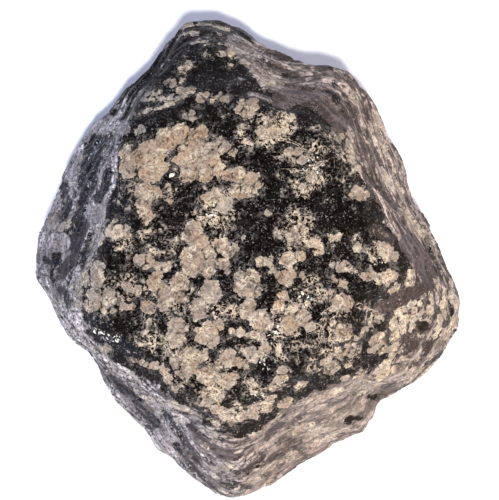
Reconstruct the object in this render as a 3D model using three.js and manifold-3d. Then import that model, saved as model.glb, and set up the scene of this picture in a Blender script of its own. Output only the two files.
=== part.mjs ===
// A hand-sized lump of raw snowflake obsidian, broken from a lava flow and worn a little at its corners.
//
// Millimetres, +Z up. The stone lies on a small flat spot at z = 0, and the origin is on that spot, under
// the middle of the stone. +Y runs along the stone's length, +X across its width, and the broad crown looks
// up.
//
// The form is a stack of closed outlines, like the height lines of a map: the shoulder where the crown is
// flat, the crown's own edge, the waist, the undercut and the foot. A finely divided icosahedron gives the
// vertices: each one's azimuth picks a place on every outline, and its tilt from the top says how far down
// it lies. Lumps, ledges and worn hollows then shape that skin. Fresh breaks and pits are cut out with
// balls, and the foot is cut flat.

import * as THREE from "three";
import { mergeVertices } from "three/addons/utils/BufferGeometryUtils.js";
import { ImprovedNoise } from "three/addons/math/ImprovedNoise.js";
import Module from "manifold-3d";

// Driving dimensions.
const CROWN_HEIGHT = 63.5; // the crown's middle above the foot
const FOOT_DEPTH = -3; // the foot bulges this far below z = 0 before it is cut flat
const SKIN_DETAIL = 19; // an icosahedron of this detail has 20 * (detail + 1)^2 triangles
const BREAK_DETAIL = 11;
const PIT_DETAIL = 3;
const GROUND_WIDTH = 200; // the block that cuts the foot flat
const GROUND_DEPTH = 20;
const MERGE_DISTANCE = 1e-5;
const UP = new THREE.Vector3(0, 0, 1);

// Each outline runs once round the stone, counter-clockwise from +X, as corners of x, y and height.
const SHOULDER = [
  [31, 3, 58], [29, -7, 59], [24, -15, 60.5], [16, -21.5, 61.5], [7, -27.5, 61], [-3, -35, 58.5],
  [-12, -31, 59.5], [-22, -23, 60], [-33, -15, 57], [-34, -4, 57.5], [-27, 8, 60], [-24, 22, 61],
  [-21, 29, 61], [-11, 31.5, 60.5], [1, 34, 60], [12, 31, 60.5], [18, 26, 61], [23, 14, 60],
];
const CROWN_EDGE = [
  [34, 2.5, 54.5], [38, -4.5, 53], [41, -10, 49], [41.5, -15.5, 46], [39, -20.5, 46], [34.5, -23.5, 49],
  [28, -26.5, 51.5], [17, -32.5, 53], [7, -37.5, 53], [2.5, -41, 52], [-3, -43.8, 50], [-9, -40, 51.5],
  [-14, -34.5, 54], [-24, -28.5, 54.5], [-33, -23, 53], [-38.5, -17.5, 50], [-42.5, -9, 48],
  [-41, -4, 49], [-34.5, 6.5, 54], [-31, 16, 57], [-29.5, 27, 57.5], [-26, 35.5, 55], [-20, 43, 50.5],
  [-15, 50, 47], [-8, 50, 48], [0, 44.5, 52], [4.5, 41, 54], [17, 37, 55], [21.5, 32, 56],
  [24, 24.5, 56.5], [29.5, 11, 55.5],
];
const WAIST = [
  [48, 0.3, 27], [42.7, 12, 24], [39.4, 19, 25], [36.4, 27, 27], [33.4, 32.6, 29], [29.3, 38.2, 32],
  [25, 42.6, 35], [21.5, 43.5, 36], [11.5, 46.5, 33], [7, 49, 30], [0, 54.7, 29], [-5, 56.4, 32],
  [-9, 58, 34], [-13.5, 56.9, 35], [-16.8, 55.7, 34], [-21.5, 48.5, 28], [-25.5, 45, 24], [-29.5, 41.5, 22],
  [-37, 32.5, 20], [-41, 27.5, 21], [-47, 14, 27], [-50, 9, 30], [-51.5, 4.5, 32], [-51.5, -4.5, 33],
  [-50, -7.3, 31], [-42.4, -19.4, 25], [-38.1, -23.6, 22], [-33.8, -34.3, 18], [-28, -41.5, 16],
  [-24.5, -43.5, 16], [-24, -46, 16], [-21.5, -49, 17], [-19, -49.5, 18], [-16, -53, 20], [-9.5, -57, 22],
  [-3.5, -58.5, 25], [0, -57, 25], [12, -51, 22], [23.5, -44.5, 23], [28.2, -42.8, 25], [30, -39.3, 28],
  [31, -35.6, 32], [33.5, -34, 35], [41.5, -30, 34], [45, -25.5, 33], [50, -18.5, 31], [52.5, -9.5, 29],
];
const UNDERCUT = [
  [40, 3, 10], [45, -9, 12], [43, -24, 11], [32, -34, 7], [17, -46, 5], [2, -53, 6], [-10, -52, 5],
  [-21, -44, 4], [-34, -29, 6], [-45, -12, 13], [-47, 6, 14], [-39, 23, 7], [-26, 38, 7], [-14, 42, 14],
  [2, 41, 12], [17, 36, 12], [28, 29, 10], [33, 14, 8],
];
const FOOT = [
  [27, 1, 0.5], [26, -15, 1.5], [15, -31, 0.5], [-3, -36, 2], [-19, -29, 0.5], [-31, -10, 1.5],
  [-29, 9, 2.5], [-19, 23, 0.5], [-3, 24, 2], [14, 19, 0.5],
];
const OUTLINES = [SHOULDER, CROWN_EDGE, WAIST, UNDERCUT, FOOT];

// Lumps: swellings of the whole skin, as wavelength and height.
const LUMPS = [
  { wavelength: 34, height: 1.6 },
  { wavelength: 15, height: 1.1 },
  { wavelength: 7, height: 0.55 },
];

// Ledges: the flow's layers stand out as steps on the steep sides, one above the other.
const LEDGE_PITCH = 7.2;
const LEDGE_DEPTH = 1.8;
const LIP_SHARE = 0.3; // the share of the pitch in which a step rises to its lip
const LEDGE_WANDER = 5; // how far up and down a ledge strays on its way round
const LEDGE_REACH = 40; // over what length its depth comes and goes
const LEDGE_BALANCE = 0.5; // the part of a step that lies inside the smooth skin
const LEDGE_SLOPES = { none: 0.55, full: 0.9 }; // by the sideways part of the skin's normal
const LEDGE_PATCHES = { none: -0.3, full: 0.4 }; // by a noise that runs from -1 to 1
const WANDER_SHIFT = 3.1; // the two shifts keep the ledges' wander and patches unlike each other
const PATCH_SHIFT = 11.9;

// Worn hollows: a place on the surface, or a line from one place to another, and the hollow's radius and
// depth.
const HOLLOWS = [
  { at: [8, 39, 54], to: [19, 34, 55], radius: 9, depth: 1.8 },
  { at: [33, 24, 45], radius: 15, depth: 1.2 },
  { at: [30, -37, 40], radius: 9, depth: 2.2 },
  { at: [-26, -36, 38], radius: 15, depth: 2 },
  { at: [-34, 16, 52], to: [-37, 5, 50], radius: 6, depth: 1.4 },
  { at: [-37, 5, 50], to: [-43, -4, 46], radius: 6, depth: 1.6 },
  { at: [-33, 30, 44], radius: 13, depth: 1.2 },
  { at: [8, -44, 42], radius: 13, depth: 1.3 },
  { at: [30, -12, 57], to: [42, -5, 47], radius: 5, depth: 1.1 },
];

// Fresh breaks low on the sides, each a shallow hollow with a crisp edge: its direction from the stone's
// middle, the radius of its curve, and its depth.
const MIDDLE = new THREE.Vector3(0, 0, CROWN_HEIGHT / 2);
const BREAKS = [
  { toward: [40, -25, -16], radius: 50, depth: 2.2 },
  { toward: [24, 38, -18], radius: 45, depth: 2.2 },
  { toward: [-45, 8, -20], radius: 60, depth: 2.2 },
  { toward: [-16, -47, -22], radius: 42, depth: 2.2 },
  { toward: [44, 6, -20], radius: 45, depth: 1.8 },
  { toward: [-18, 43, -18], radius: 55, depth: 2 },
  { toward: [-41, -19, -14], radius: 40, depth: 1.6 },
  { toward: [14, -47, -20], radius: 35, depth: 1.5 },
];

// Pits: small round holes in the upper side, by x and y.
const PITS = [
  { x: 39.8, y: -16.1, radius: 1.5 },
  { x: 34.3, y: -5.3, radius: 0.8 },
  { x: -19.6, y: -30.2, radius: 0.7 },
];

// Where an outline crosses the half-plane at one azimuth: its distance from the axis, and its height.
function crossing(outline, azimuth) {
  const sine = Math.sin(azimuth);
  const cosine = Math.cos(azimuth);
  for (let i = 0; i < outline.length; i += 1) {
    const [ax, ay, az] = outline[i];
    const [bx, by, bz] = outline[(i + 1) % outline.length];
    const sideA = cosine * ay - sine * ax;
    const sideB = cosine * by - sine * bx;
    const share = sideA / (sideA - sideB);
    const along = (1 - share) * (cosine * ax + sine * ay) + share * (cosine * bx + sine * by);
    if (sideA * sideB <= 0 && sideA !== sideB && along > 0) {
      return new THREE.Vector2(along, (1 - share) * az + share * bz);
    }
  }
  throw new Error("an outline doesn't go all the way round the axis");
}

// The point of the stone's skin for one direction of the icosahedron.
function skinPoint(direction) {
  const azimuth = Math.atan2(direction.y, direction.x);
  const corners = OUTLINES.map((outline) => crossing(outline, azimuth));
  corners.unshift(new THREE.Vector2(0, CROWN_HEIGHT));
  corners.push(new THREE.Vector2(0, FOOT_DEPTH));
  const lengths = corners.slice(1).map((corner, i) => corner.distanceTo(corners[i]));
  const whole = lengths.reduce((sum, length) => sum + length, 0);
  let left = (Math.acos(THREE.MathUtils.clamp(direction.z, -1, 1)) / Math.PI) * whole;
  let i = 0;
  while (i < lengths.length - 1 && left > lengths[i]) {
    left -= lengths[i];
    i += 1;
  }
  const { x: reach, y: height } = corners[i].clone().lerp(corners[i + 1], Math.min(left / lengths[i], 1));
  return new THREE.Vector3(reach * Math.cos(azimuth), reach * Math.sin(azimuth), height);
}

const noise = new ImprovedNoise();

function waver(p, wavelength, shift) {
  return noise.noise(p.x / wavelength + shift, p.y / wavelength + shift, p.z / wavelength + shift);
}

function lumps(p) {
  return LUMPS.reduce((sum, lump) => sum + lump.height * waver(p, lump.wavelength, lump.wavelength), 0);
}

// A step for each layer: a lip that juts out above the step's foot and slopes back to the next step.
function ledges(p, normal) {
  const sideways = Math.hypot(normal.x, normal.y);
  const steepness = THREE.MathUtils.smoothstep(sideways, LEDGE_SLOPES.none, LEDGE_SLOPES.full);
  const layer = (p.z + LEDGE_WANDER * waver(p, LEDGE_REACH / 2, WANDER_SHIFT)) / LEDGE_PITCH;
  const up = layer - Math.floor(layer);
  const jut = THREE.MathUtils.smoothstep(up, 0, LIP_SHARE) * (1 - up * up);
  const patch = waver(p, LEDGE_REACH, PATCH_SHIFT);
  const strength = THREE.MathUtils.smoothstep(patch, LEDGE_PATCHES.none, LEDGE_PATCHES.full);
  return LEDGE_DEPTH * strength * steepness * (jut - LEDGE_BALANCE);
}

function hollows(p) {
  const nearest = new THREE.Vector3();
  return HOLLOWS.reduce((deepest, { at, to = at, radius, depth }) => {
    const line = new THREE.Line3(new THREE.Vector3(...at), new THREE.Vector3(...to));
    line.closestPointToPoint(p, true, nearest);
    const away = Math.min(1, p.distanceTo(nearest) / radius);
    return Math.min(deepest, -depth * (1 - away * away));
  }, 0);
}

// A geometry with nothing but positions, its shared vertices merged.
function merged(geometry) {
  geometry.deleteAttribute("normal");
  geometry.deleteAttribute("uv");
  return mergeVertices(geometry, MERGE_DISTANCE);
}

function shapedSkin() {
  const skin = merged(new THREE.IcosahedronGeometry(1, SKIN_DETAIL));
  const position = skin.getAttribute("position");
  const p = new THREE.Vector3();
  const normal = new THREE.Vector3();
  for (let i = 0; i < position.count; i += 1) {
    position.setXYZ(i, ...skinPoint(p.fromBufferAttribute(position, i)));
  }
  skin.computeVertexNormals();
  for (let i = 0; i < position.count; i += 1) {
    p.fromBufferAttribute(position, i);
    normal.fromBufferAttribute(skin.getAttribute("normal"), i);
    position.setXYZ(i, ...p.addScaledVector(normal, lumps(p) + ledges(p, normal) + hollows(p)));
  }
  return skin;
}

const wasm = await Module();
wasm.setup();

function solidOf(geometry) {
  return new wasm.Manifold(
    new wasm.Mesh({
      numProp: 3,
      vertProperties: new Float32Array(geometry.getAttribute("position").array),
      triVerts: new Uint32Array(geometry.index.array),
    }),
  );
}

function geometryOf(solid) {
  const { vertProperties, triVerts } = solid.getMesh();
  const geometry = new THREE.BufferGeometry().setIndex(new THREE.BufferAttribute(triVerts, 1));
  return geometry.setAttribute("position", new THREE.BufferAttribute(vertProperties, 3));
}

function ball(radius, detail, centre) {
  return solidOf(merged(new THREE.IcosahedronGeometry(radius, detail).translate(...centre)));
}

// Where a straight line through one place, coming from outside, first meets the skin.
function surfacePoint(skin, place, outwards) {
  const start = place.clone().addScaledVector(outwards, GROUND_WIDTH);
  const [hit] = new THREE.Raycaster(start, outwards.clone().negate()).intersectObject(new THREE.Mesh(skin));
  return hit.point;
}

// A break's ball lies outside the stone and cuts in by the break's depth.
function breakCut(skin, { toward, radius, depth }) {
  const outwards = new THREE.Vector3(...toward).normalize();
  const deepest = surfacePoint(skin, MIDDLE, outwards);
  return ball(radius, BREAK_DETAIL, deepest.addScaledVector(outwards, radius - depth));
}

// A pit's ball has its centre on the skin.
function pitCut(skin, { x, y, radius }) {
  return ball(radius, PIT_DETAIL, surfacePoint(skin, new THREE.Vector3(x, y, 0), UP));
}

function groundCut() {
  const block = new THREE.BoxGeometry(GROUND_WIDTH, GROUND_WIDTH, GROUND_DEPTH);
  return solidOf(merged(block.translate(0, 0, -GROUND_DEPTH / 2)));
}

const skin = shapedSkin();
const cuts = [
  ...BREAKS.map((place) => breakCut(skin, place)),
  ...PITS.map((place) => pitCut(skin, place)),
  groundCut(),
];
const stone = geometryOf(cuts.reduce((solid, cut) => solid.subtract(cut), solidOf(skin)));

// The outlines are drawn round the crown's middle. The origin goes under the middle of the whole stone.
stone.computeBoundingBox();
const wholeMiddle = stone.boundingBox.getCenter(new THREE.Vector3());
stone.translate(-wholeMiddle.x, -wholeMiddle.y, 0);

const obsidian = new THREE.MeshStandardMaterial({ color: 0x4a443f, roughness: 0.6, metalness: 0 });
const rawObsidian = new THREE.Mesh(stone, obsidian);
rawObsidian.name = "raw_obsidian";

const model = new THREE.Group();
model.add(rawObsidian);
export default model;
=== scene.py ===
# %% [markdown]
# # A lump of raw snowflake obsidian
# Obsidian is lava that cooled to glass before crystals could grow. In snowflake obsidian the
# glass went on ageing, and pale balls of cristobalite grew in it, which show as flakes wherever
# the surface cuts through them. This lesson dresses one hand-sized lump: black glass, pale
# flakes that merge into crusts, a frost of fine threads, and sides dulled by wear.
#
# The stone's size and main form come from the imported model, which is loaded as a fixed frame.

# %% Load the frame
import random

import bmesh
import bpy
import numpy as np
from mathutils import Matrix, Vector, noise
from mathutils.bvhtree import BVHTree


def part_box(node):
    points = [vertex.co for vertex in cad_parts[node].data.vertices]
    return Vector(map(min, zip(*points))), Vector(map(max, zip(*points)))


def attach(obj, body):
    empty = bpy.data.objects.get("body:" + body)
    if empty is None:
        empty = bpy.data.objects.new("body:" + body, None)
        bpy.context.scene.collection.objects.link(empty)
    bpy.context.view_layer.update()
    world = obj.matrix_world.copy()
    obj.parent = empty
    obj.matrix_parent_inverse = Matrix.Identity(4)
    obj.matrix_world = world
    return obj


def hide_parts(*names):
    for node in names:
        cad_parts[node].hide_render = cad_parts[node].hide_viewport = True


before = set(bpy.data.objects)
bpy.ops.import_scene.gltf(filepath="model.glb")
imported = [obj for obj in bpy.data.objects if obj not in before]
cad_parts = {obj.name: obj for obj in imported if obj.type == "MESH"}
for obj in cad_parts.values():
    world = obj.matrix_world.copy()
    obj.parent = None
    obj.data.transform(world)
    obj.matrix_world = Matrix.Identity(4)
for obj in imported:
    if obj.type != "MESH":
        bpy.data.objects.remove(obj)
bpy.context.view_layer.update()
MM = 0.001
STONE_NODE = "raw_obsidian"
stone_low, stone_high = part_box(STONE_NODE)
print("stone is", [round(side / MM, 1) for side in stone_high - stone_low], "mm")

# %% [markdown]
# ## The skin
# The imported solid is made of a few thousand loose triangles. Relief needs many small even faces,
# so a copy of it is merged, wrapped in a fine voxel skin, and smoothed until the solid's flat
# facets are gone but its ledges and breaks are still there. A subdivision surface would keep the
# solid's long thin faces, and sculpting by hand could not be run again from a script.

# %% Wrap the solid in a fine skin
VOXEL = 0.625 * MM
SMOOTHING_PASSES = 14
EVERY_WAY = {"use_axis_x": True, "use_axis_y": True, "use_axis_z": True}


def in_scene(name, data):
    """A new object, linked to the scene."""
    made = bpy.data.objects.new(name, data)
    bpy.context.scene.collection.objects.link(made)
    return made


def fine_skin(node, voxel):
    """A mesh of small even faces over a merged copy of a node."""
    merged = bmesh.new()
    merged.from_mesh(node.data)
    bmesh.ops.remove_doubles(merged, verts=merged.verts, dist=0.01 * MM)
    bmesh.ops.recalc_face_normals(merged, faces=merged.faces)
    draft_mesh = bpy.data.meshes.new("draft")
    merged.to_mesh(draft_mesh)
    merged.free()
    draft = in_scene("draft", draft_mesh)
    wrap = draft.modifiers.new("wrap", "REMESH")
    wrap.mode = "VOXEL"
    wrap.voxel_size = voxel
    wrap.adaptivity = 0
    graph = bpy.context.evaluated_depsgraph_get()
    skin = bpy.data.meshes.new_from_object(draft.evaluated_get(graph))
    bpy.data.objects.remove(draft)
    return skin


def smoothed(mesh, passes):
    """The mesh with every vertex drawn towards its neighbours a few times over."""
    soft = bmesh.new()
    soft.from_mesh(mesh)
    for _ in range(passes):
        bmesh.ops.smooth_vert(soft, verts=soft.verts, factor=0.5, **EVERY_WAY)
    bmesh.ops.recalc_face_normals(soft, faces=soft.faces)
    soft.to_mesh(mesh)
    soft.free()
    return mesh


stone_mesh = smoothed(fine_skin(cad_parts[STONE_NODE], VOXEL), SMOOTHING_PASSES)
stone_mesh.name = "obsidian_lump"
print("skin has", len(stone_mesh.vertices), "points and", len(stone_mesh.polygons), "faces")

# %% [markdown]
# ## Every point as a number
# Relief and markings are both worked out point by point, so the skin's places and normals are
# first read into arrays. A smooth step between two values and a noise with lumps of a chosen
# width do most of the work after that.

# %% Points and normals as arrays, in millimetres
def point_array(mesh):
    """The mesh's points as rows of x, y and z, in millimetres."""
    flat = np.empty(len(mesh.vertices) * 3)
    mesh.vertices.foreach_get("co", flat)
    return flat.reshape(-1, 3) / MM


def normal_array(mesh):
    """The mesh's vertex normals as rows of x, y and z."""
    flat = np.empty(len(mesh.vertices) * 3)
    mesh.vertices.foreach_get("normal", flat)
    return flat.reshape(-1, 3)


def away_from(points, middle):
    """How far each point is from a place, in millimetres."""
    return np.linalg.norm(points - np.array(middle), axis=1)


def ramp(value, low, high):
    """0 up to low, 1 from high, and a smooth rise between."""
    share = np.clip((value - low) / (high - low), 0, 1)
    return share * share * (3 - 2 * share)


def noise_field(points, size, offset=0.0):
    """Smooth noise from -1 to 1 at each point, with lumps about as wide as size."""
    return np.array([noise.noise(Vector(p) / size + Vector((offset, 0, 0))) for p in points])


smooth_points = point_array(stone_mesh)
smooth_normals = normal_array(stone_mesh)
steepness = ramp(1 - np.abs(smooth_normals[:, 2]), 0.18, 0.6)
height = smooth_points[:, 2]
print("steep share of the skin:", round(float(steepness.mean()), 2))

# %% [markdown]
# ## The plan, and the lines drawn by the flow
# No two lumps are marked alike, so what gives this one its face is set down on a plan, a
# map of the stone seen from a point half a metre above it: east and north in millimetres. First
# come the lines that the flow drew: bands of bare glass with a mauve sheen, dark streaks where a
# layer has chipped away, and pale veins where a layer ends. Each is a bent line and half its
# width. How deep a point lies inside a line is kept in millimetres, below zero outside it, so
# that both the relief and the material can cut their own edge from it.

# %% Bare bands, dark streaks and pale veins
SIGHT_POINT = Vector((0.43, 2.51, 450))
PLAN_ZERO = Vector((0, -0.64, 58))
FAR_OFF = 50.0
DEEPEST = 3.0
BARE_BANDS = [
    ([(7.5, 37), (12, 38.3), (17, 36.5), (20.8, 31.5)], 2.2),
    ([(30, -10), (35.5, -7.3), (40.5, -4.8)], 1.5), ([(36, 5), (38.5, 1.5), (40.5, -2.5)], 1.9),
    ([(-36.3, 10.9), (-38.2, 6), (-39.8, 1.2), (-42, -2)], 1.6),
    ([(-13, -37), (-9.5, -40.5), (-7, -42.5), (-4, -43.3)], 1.3), ([(8.5, -39.5), (12, -41.5)], 1.1),
    ([(30.5, -28.2), (33, -27.2)], 0.7), ([(-31, -25.5), (-25, -30)], 1.0),
    # The last band, a thin line along the right rim, is painted shade where the edge turns under.
    ([
        (26.5, 40.5), (30.5, 33), (33.5, 26.5), (36.5, 20), (38.5, 13), (41.5, 7), (44, 2), (46.3, -3),
        (48, -8),
    ], 0.3),
]
DARK_STREAKS = [
    ([(-34, 27), (-35.5, 23), (-36, 18)], 2.2), ([(-31.4, 21), (-32, 17.5), (-34, 14.7)], 1.1),
    ([(-36.6, 15.7), (-38, 11.5), (-38.8, 8.3)], 1.2), ([(-41.5, 18), (-40.5, 13.5), (-41.4, 10.9)], 1.1),
    ([(-35.3, 6.4), (-36.6, 1.9), (-37.2, -0.7)], 0.9), ([(-44.9, 0.6), (-43.2, 0.4)], 1.0),
    ([(-42, -5.8), (-40.2, -8.5)], 1.0), ([(-36, -12.3), (-31.5, -13)], 1.2),
    ([(-33.5, -16.5), (-29, -18), (-25, -20)], 1.6), ([(-24.3, -31.7), (-21.2, -35.9)], 1.6),
    ([(-18.5, -33.8), (-15.4, -37.5), (-12.8, -41.6), (-11.2, -44.3)], 0.8),
    ([(-29, -28), (-26, -29)], 0.5), ([(-31.5, -25.3), (-30.5, -26)], 0.4),
    ([(-16, -41.1), (-12.3, -45.8), (-7, -50)], 0.9), ([(3.5, -43), (0, -46), (-3, -48)], 0.8),
    ([(-10, -49.7), (-3, -50), (0, -50)], 0.7), ([(3, -45), (7.5, -42.5), (9, -42)], 0.4),
    ([(8.5, -34.5), (4.5, -39)], 0.8), ([(13, -33.5), (9, -36.8)], 0.4), ([(20, -31.3), (24, -29)], 0.4),
    ([(36, -18.5), (37, -17.5)], 1.1), ([(40.5, -18.5), (43.5, -17.8)], 1.0),
    ([(34, -23.2), (38, -22.2)], 0.7), ([(26.3, 35), (27.3, 32.5)], 0.7), ([(28, 19.3), (30, 17.2)], 1.2),
    ([(26.8, 29.6), (26.9, 28.7)], 0.6), ([(30.5, 16.5), (33, 13)], 0.9),
    ([(24.7, 27), (26.5, 21.5), (29.5, 18), (31.5, 14), (35, 9)], 0.35), ([(27.5, 26), (29, 22.5)], 0.3),
    ([(31.5, 22), (34.8, 17.5)], 0.3), ([(21.5, 38), (24, 37)], 0.4), ([(21, 34), (22.5, 33)], 0.4),
    ([(3, 46), (8, 43)], 0.4), ([(28, 8), (32, 5.8)], 1.2),
]
PALE_VEINS = [
    ([(-32.4, 22.1), (-32.8, 19.5), (-34.3, 17), (-34.6, 13.4)], 0.4),
    ([(-29.5, 30), (-29.5, 25.3), (-30.2, 18), (-32.4, 13.1), (-34, 9.3), (-35.3, 7)], 0.45),
    ([(-40.1, 2.8), (-42.4, 0.3), (-43.6, -3)], 0.4),
    ([(-35, 31), (-38, 26.6), (-39.4, 22.4), (-40.6, 17), (-41.8, 13)], 1.8),
    ([(-36.3, 12.5), (-34, 9)], 1.3), ([(-38.3, 16.3), (-38.5, 10.2)], 0.7),
    ([(-45.5, 4.8), (-42, 5)], 2.3), ([(-46.3, 0.5), (-46, -1.5)], 0.9),
    ([(-39, -11.5), (-37, -13.5)], 1.6), ([(-19.5, -36.5), (-17.8, -39.5)], 1.6),
    ([(-23.8, -31), (-18.5, -32.5), (-14.9, -35.9), (-12.3, -39), (-9.7, -41.1), (-7, -43.7)], 0.4),
    ([(-14.9, -41.6), (-13.6, -43.7)], 0.7), ([(22.5, -31.5), (28, -32.8)], 2.3),
    ([(-33.3, 30.5), (-31, 31.8), (-28, 30.5)], 1.7),
]
LONG_HAIRS = [
    [(18.2, -6.8), (17.4, -10.7), (16.3, -12.6), (16, -17.4)],
    [(20.8, -11), (18.9, -12.3), (18.2, -15.2), (19.2, -19)], [(7, 28), (10, 27.5), (13, 25)],
    [(10, 21), (13, 20.5), (16.5, 22.5)], [(-8.5, 9.5), (-6, 8), (-5.8, 6)],
    [(24.6, -9.4), (26, -10), (28, -10.5)],
]
# Gleams are painted highlights: short bright lines on the plan.
GLEAMS = [
    ([(-34.6, -15.2), (-32.6, -15.6)], 0.2), ([(-31.4, -15.8), (-30.2, -16.6)], 0.15),
    ([(-29.6, -17.4), (-28.8, -17.2)], 0.15), ([(-17.1, 19.9), (-16.8, 20.2)], 0.4),
]


def on_plan(points):
    """Where each point lies on the plan, seen from the sight point."""
    share = (SIGHT_POINT.z - PLAN_ZERO.z) / (SIGHT_POINT.z - points[:, 2])
    sight = np.array(SIGHT_POINT)[:2]
    return sight + (points[:, :2] - sight) * share[:, None] - np.array(PLAN_ZERO)[:2]


def line_side(places, line):
    """How far each place is from a bent line, above zero on its left and below zero on its right."""
    nearest = np.full(len(places), FAR_OFF)
    for start, end in zip(np.array(line[:-1], float), np.array(line[1:], float)):
        along = end - start
        away = places - start
        share = np.clip(away @ along / (along @ along), 0, 1)
        distance = np.linalg.norm(away - share[:, None] * along, axis=1)
        side = np.where(along[0] * away[:, 1] > along[1] * away[:, 0], 1, -1)
        nearest = np.where(distance < np.abs(nearest), distance * side, nearest)
    return nearest


def depth_inside(lines, points, normals):
    """How deep each point lies inside the nearest line, below zero outside it or out of sight."""
    places = on_plan(points)
    depth = np.full(len(places), -DEEPEST)
    for line, half_width in lines:
        depth = np.maximum(depth, half_width - np.abs(line_side(places, line)))
    return np.where(normals[:, 2] > 0, depth, -DEEPEST)


print("lines on the plan:", len(BARE_BANDS) + len(DARK_STREAKS) + len(PALE_VEINS))

# %% [markdown]
# ## The relief
# Glass breaks in shallow scoops with sharp ribs between them. The layers of the old flow stand
# out on the sides as fine ledges, and years of knocks have left the whole skin slightly lumpy.
# Each of these is a height in millimetres, worked out at every point from three-dimensional
# noise, and the points then move along their normals. Where a dark streak runs the layer has
# gone, so it is a shallow groove, and a vein stands out. Real moves show in the outline and in
# the mesh, which a bump in the material alone would not.

# %% Scoops, ledges and lumps
SCOOP_WIDTH = 8.5
SCOOP_DEPTH = 0.9
FOLD_PITCH = 5.2
FOLD_DEPTH = 0.75
LEDGE_PITCH = 2.1
LEDGE_DEPTH = 0.34
LEDGE_TILT = 0.10
LEDGE_WANDER = [(2.4, 21, 2), (1.1, 7, 4), (0.3, 2, 8)]
LUMPS = [(0.26, 4.2, 11), (0.13, 1.7, 13)]
GROOVE_DEPTH = 0.5
VEIN_HEIGHT = 0.4
FOOT_FREE = 2.5


def scoops(points, width, depth):
    """Shallow bowls, deepest in the middle, that meet in ribs."""
    warped = points + 1.5 * np.stack([noise_field(points, width * 0.8, k) for k in (3, 5, 9)], axis=1)
    nearest = np.array([noise.voronoi(Vector(p) / width)[0][0] for p in warped])
    bowl = np.minimum(nearest, 0.9) ** 2
    return depth * (bowl - bowl.mean())


def ledges(points, pitch, depth, tilt):
    """Thin layers, each with a sharp lip that overhangs the next."""
    wander = sum(reach * noise_field(points, size, offset) for reach, size, offset in LEDGE_WANDER)
    level = (points[:, 2] + tilt * points[:, 0] + wander) / pitch
    phase = level - np.floor(level)
    strength = 0.5 + 0.5 * noise_field(np.c_[points[:, 0], points[:, 1], np.floor(level) * 9.0], 16, 7)
    return depth * (phase ** 2 - 0.33) * np.clip(strength * 2.6 - 0.7, 0, 1.3)


crown_relief = scoops(smooth_points, SCOOP_WIDTH, SCOOP_DEPTH)
side_relief = ledges(smooth_points, FOLD_PITCH, FOLD_DEPTH, LEDGE_TILT)
side_relief = side_relief + ledges(smooth_points + 40, LEDGE_PITCH, LEDGE_DEPTH, LEDGE_TILT)
lump_relief = sum(rise * noise_field(smooth_points, size, offset) for rise, size, offset in LUMPS)
grooves = ramp(depth_inside(DARK_STREAKS, smooth_points, smooth_normals), -0.7, 0.8)
veins = ramp(depth_inside(PALE_VEINS, smooth_points, smooth_normals), -0.8, 0.8)
drawn_relief = VEIN_HEIGHT * veins - GROOVE_DEPTH * grooves
relief = crown_relief * (1 - 0.5 * steepness) + (side_relief + drawn_relief) * steepness + lump_relief
relief = relief * ramp(height, 0.4, FOOT_FREE)
print("relief from", round(float(relief.min()), 2), "to", round(float(relief.max()), 2), "mm")

# %% Round pits left by gas bubbles
PITS = [(39.6, -14, 1.4), (34.4, -3.6, 0.8), (-19.2, -28.5, 0.7)]
PIT_DEPTH = 0.9
PIT_RIM = 1.05


def surface_finder(mesh):
    """A tree that finds where a line meets the mesh, in millimetres."""
    polygons = [tuple(face.vertices) for face in mesh.polygons]
    return BVHTree.FromPolygons([tuple(p) for p in point_array(mesh)], polygons)


def dropped(finder, x, y):
    """Where the line from the sight point through x, y on the plan meets the skin."""
    towards = PLAN_ZERO + Vector((x, y, 0)) - SIGHT_POINT
    return finder.ray_cast(SIGHT_POINT, towards.normalized())[0]


def pit_depth(points, middle, radius):
    """How far in each point goes to make a round pit round a place on the skin."""
    share = away_from(points, middle) / radius
    return radius * PIT_DEPTH * np.clip(1 - share ** 2, 0, 1) ** 0.6


smooth_finder = surface_finder(stone_mesh)
pit_middles = [dropped(smooth_finder, x, y) for x, y, _ in PITS]
for middle, (_, _, radius) in zip(pit_middles, PITS):
    relief = relief - pit_depth(smooth_points, middle, radius)
stone_points = smooth_points + smooth_normals * relief[:, None]
stone_points[:, 2] = np.maximum(stone_points[:, 2], 0)
stone_mesh.vertices.foreach_set("co", (stone_points * MM).ravel())
stone_mesh.update()
stone_mesh.shade_smooth()
print("pits:", len(PITS))

# %% [markdown]
# ## The plan of the flakes
# No two lumps have their flakes in the same places, so the ones that give this lump its face are
# set down one by one on the same plan: east, north and radius in millimetres. Each is dropped
# on to the skin along its line of sight, and it is a ball there, cut by the surface as the real
# one is. Five tints name how far each has weathered.

# %% Tints and the flakes of the far end
TAN = (0.27, 0.213, 0.168)
OCHRE = (0.295, 0.214, 0.15)
GREY = (0.24, 0.212, 0.188)
CREAM = (0.39, 0.325, 0.25)
PALE = (0.34, 0.295, 0.25)
flakes = []


def plan(tint, places, grown=0.0):
    """Adds flakes of one tint to the plan, all grown by some millimetres."""
    flakes.extend((x, y, radius + grown, tint) for x, y, radius in places)


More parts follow.
